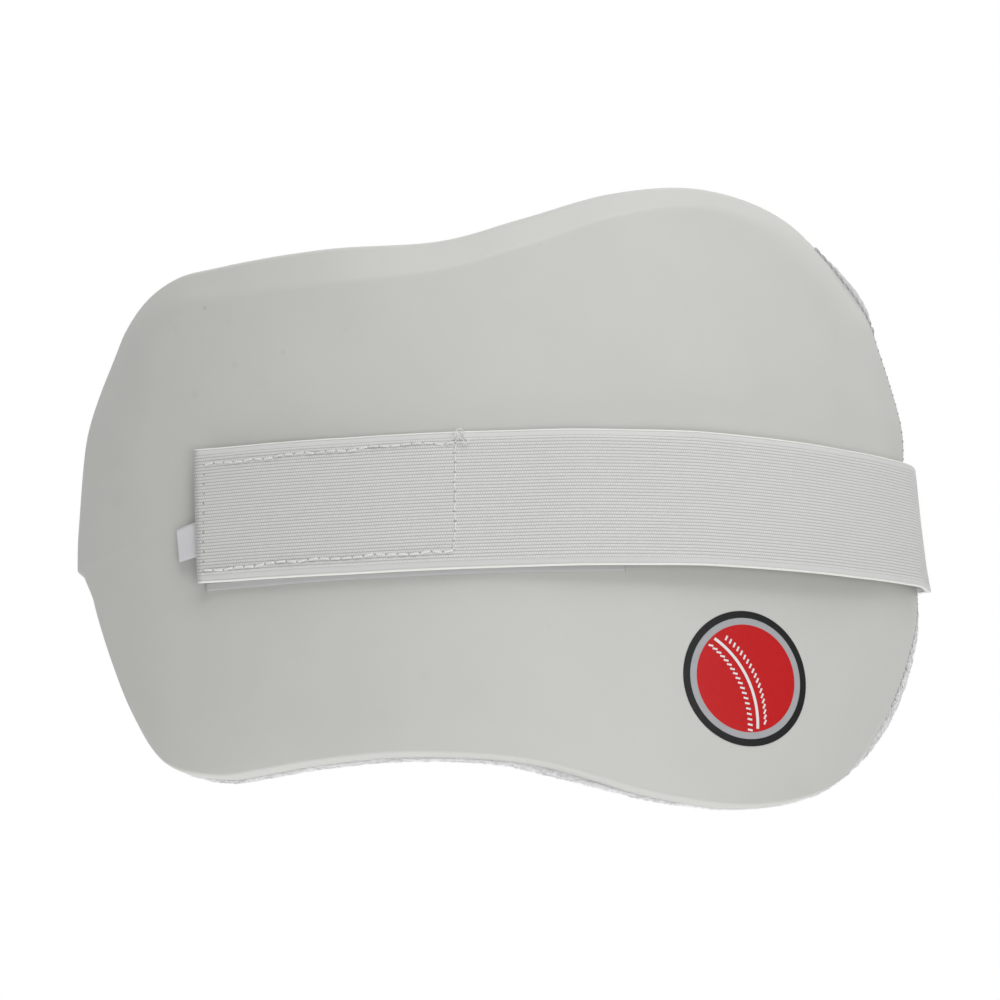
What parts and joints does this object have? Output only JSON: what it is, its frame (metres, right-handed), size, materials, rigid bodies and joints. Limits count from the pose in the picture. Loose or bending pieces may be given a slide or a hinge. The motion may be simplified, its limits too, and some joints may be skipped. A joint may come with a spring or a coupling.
{
  "type": "cricket chest guard",
  "caption": "Curved foam chest guard with a smooth skin, a towelling back and a wide elastic strap that goes round the chest and closes on a fastening patch.",
  "frame": {"origin": "middle of the bounding box in X and Y, on the surface that the guard lies on", "axes": "+X along the strap towards its fold round the edge, +Y across the guard towards its taller upper lobe, +Z out of the guard's front, away from the chest"},
  "size_m": [0.3364, 0.24, 0.0806],
  "materials": {
    "shell_skin": "smooth satin synthetic leather over foam",
    "towelling": "looped towelling",
    "elastic": "ribbed woven elastic",
    "loop_fabric": "brushed loop fabric",
    "hook_fabric": "hook tape",
    "label_satin": "folded satin tape"
  },
  "bodies": {
    "root": {"shell": "shell_skin", "lining": "towelling", "strap": "elastic", "loop_patch": "loop_fabric", "hook_patch": "hook_fabric", "label": "label_satin"}
  },
  "joints": []
}
